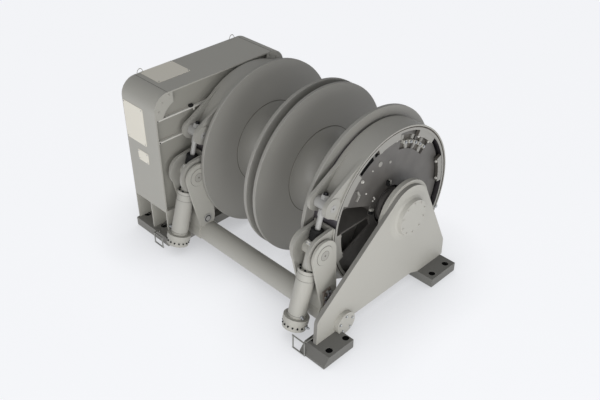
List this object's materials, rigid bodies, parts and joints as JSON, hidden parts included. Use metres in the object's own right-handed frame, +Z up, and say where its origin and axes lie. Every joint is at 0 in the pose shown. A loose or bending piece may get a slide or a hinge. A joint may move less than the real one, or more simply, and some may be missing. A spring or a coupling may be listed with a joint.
{
  "type": "towing winch",
  "caption": "Double-drum towing winch with side gear housing, band brakes worked by cylinders, a bearing pedestal and a cross tube between bolted feet.",
  "frame": {"origin": "centre of the bounding box's bottom, on the deck", "axes": "+X along the drum axis, from the gear housing to the bearing pedestal; +Y away from the brake cylinders; +Z up"},
  "size_m": [2.905, 2.1998, 1.812],
  "materials": {
    "winch_grey_paint": "satin warm grey machine paint",
    "drum_paint": "satin warm grey machine paint",
    "deck_grey_paint": "satin grey primer",
    "rim_paint": "satin grey paint",
    "rim_steel": "turned brake surface",
    "machined_steel": "fine turned steel",
    "gear_steel": "cut and hardened",
    "bar_steel": "galvanised round bar",
    "bearing_bronze": "machined bronze",
    "brake_lining": "woven friction lining, matt",
    "rubber_boot": "matt"
  },
  "bodies": {
    "frame": {"gear_base": "deck_grey_paint", "gear_shell": "winch_grey_paint", "gear_side_wall": "winch_grey_paint", "wall_ribs": "winch_grey_paint", "corner_plates": "winch_grey_paint", "bay_web": "winch_grey_paint", "motor_flange": "deck_grey_paint", "bearing_plate": "winch_grey_paint", "bearing_boss": "winch_grey_paint", "bearing_housing": "deck_grey_paint", "plate_bush": "bearing_bronze", "wall_bush": "bearing_bronze", "foot_front": "deck_grey_paint", "foot_rear": "deck_grey_paint", "cross_tube": "winch_grey_paint", "tube_cap": "winch_grey_paint", "hoop_right": "bar_steel", "hoop_left": "bar_steel", "band_lower_right": "winch_grey_paint", "lining_lower_right": "brake_lining", "links_right": "winch_grey_paint", "anchor_right": "winch_grey_paint", "band_lower_left": "winch_grey_paint", "lining_lower_left": "brake_lining", "links_left": "winch_grey_paint", "anchor_left": "winch_grey_paint"},
    "main_shaft": {"main_shaft": "machined_steel", "bull_gear": "gear_steel"},
    "idler": {"idler_gears": "gear_steel"},
    "input": {"input_pinion": "gear_steel"},
    "drum_right": {"barrel_right": "drum_paint", "flares_right": "drum_paint", "flange_inner_right": "drum_paint", "flange_outer_right": "drum_paint", "hubs_right": "bearing_bronze", "brake_rim_right": "rim_steel", "rim_web_right": "rim_paint", "rim_lugs_right": "winch_grey_paint"},
    "clutch_right": {"clutch_right": "machined_steel"},
    "band_right": {"band_upper_right": "winch_grey_paint", "lining_upper_right": "brake_lining"},
    "cylinder_right": {"cylinder_right": "winch_grey_paint", "boot_right": "rubber_boot"},
    "tie_rod_right": {"tie_rod_right": "machined_steel"},
    "drum_left": {"barrel_left": "drum_paint", "flares_left": "drum_paint", "flange_inner_left": "drum_paint", "flange_outer_left": "drum_paint", "hubs_left": "bearing_bronze", "brake_rim_left": "rim_steel", "rim_web_left": "rim_paint", "rim_lugs_left": "winch_grey_paint"},
    "clutch_left": {"clutch_left": "machined_steel"},
    "band_left": {"band_upper_left": "winch_grey_paint", "lining_upper_left": "brake_lining"},
    "cylinder_left": {"cylinder_left": "winch_grey_paint", "boot_left": "rubber_boot"},
    "tie_rod_left": {"tie_rod_left": "machined_steel"}
  },
  "joints": [
    {"name": "shaft_spin", "type": "hinge", "parent": "frame", "child": "main_shaft", "pos_m": [-1.1575, 0.2, 0.912], "axis": [1, 0, 0], "continuous": true},
    {"name": "idler_spin", "type": "hinge", "parent": "frame", "child": "idler", "pos_m": [-1.1575, -0.30367, 1.09532], "axis": [1, 0, 0], "continuous": true},
    {"name": "input_spin", "type": "hinge", "parent": "frame", "child": "input", "pos_m": [-1.1575, -0.58427, 1.25732], "axis": [1, 0, 0], "continuous": true},
    {"name": "drum_right_spin", "type": "hinge", "parent": "frame", "child": "drum_right", "pos_m": [0.4705, 0.2, 0.912], "axis": [1, 0, 0], "continuous": true},
    {"name": "clutch_right_slide", "type": "slide", "parent": "main_shaft", "child": "clutch_right", "axis": [-1, 0, 0], "range_m": [0, 0.04]},
    {"name": "brake_right_open", "type": "hinge", "parent": "frame", "child": "band_right", "pos_m": [0.9575, 0.95771, 0.52593], "axis": [-1, 0, 0], "range_deg": [0, 1]},
    {"name": "cylinder_right_tilt", "type": "hinge", "parent": "frame", "child": "cylinder_right", "pos_m": [0.9575, -0.731, 0.871], "axis": [-1, 0, 0], "range_deg": [0, 0.6118]},
    {"name": "tie_rod_right_slide", "type": "slide", "parent": "cylinder_right", "child": "tie_rod_right", "axis": [0, 0.2925, 0.9563], "range_m": [0, 0.02993]},
    {"name": "drum_left_spin", "type": "hinge", "parent": "frame", "child": "drum_left", "pos_m": [-0.2855, 0.2, 0.912], "axis": [1, 0, 0], "continuous": true},
    {"name": "clutch_left_slide", "type": "slide", "parent": "main_shaft", "child": "clutch_left", "axis": [1, 0, 0], "range_m": [0, 0.04]},
    {"name": "brake_left_open", "type": "hinge", "parent": "frame", "child": "band_left", "pos_m": [-0.7725, 0.95771, 0.52593], "axis": [-1, 0, 0], "range_deg": [0, 1]},
    {"name": "cylinder_left_tilt", "type": "hinge", "parent": "frame", "child": "cylinder_left", "pos_m": [-0.7725, -0.731, 0.871], "axis": [-1, 0, 0], "range_deg": [0, 0.6118]},
    {"name": "tie_rod_left_slide", "type": "slide", "parent": "cylinder_left", "child": "tie_rod_left", "axis": [0, 0.2925, 0.9563], "range_m": [0, 0.02993]}
  ],
  "couplings": [
    {"joint": "idler_spin", "follows": "shaft_spin", "ratio": -3.4667},
    {"joint": "input_spin", "follows": "shaft_spin", "ratio": 9.9048},
    {"joint": "cylinder_right_tilt", "follows": "brake_right_open", "ratio": 0.61184},
    {"joint": "tie_rod_right_slide", "follows": "brake_right_open", "m_per_rad": 1.7149},
    {"joint": "cylinder_left_tilt", "follows": "brake_left_open", "ratio": 0.61184},
    {"joint": "tie_rod_left_slide", "follows": "brake_left_open", "m_per_rad": 1.7149}
  ]
}
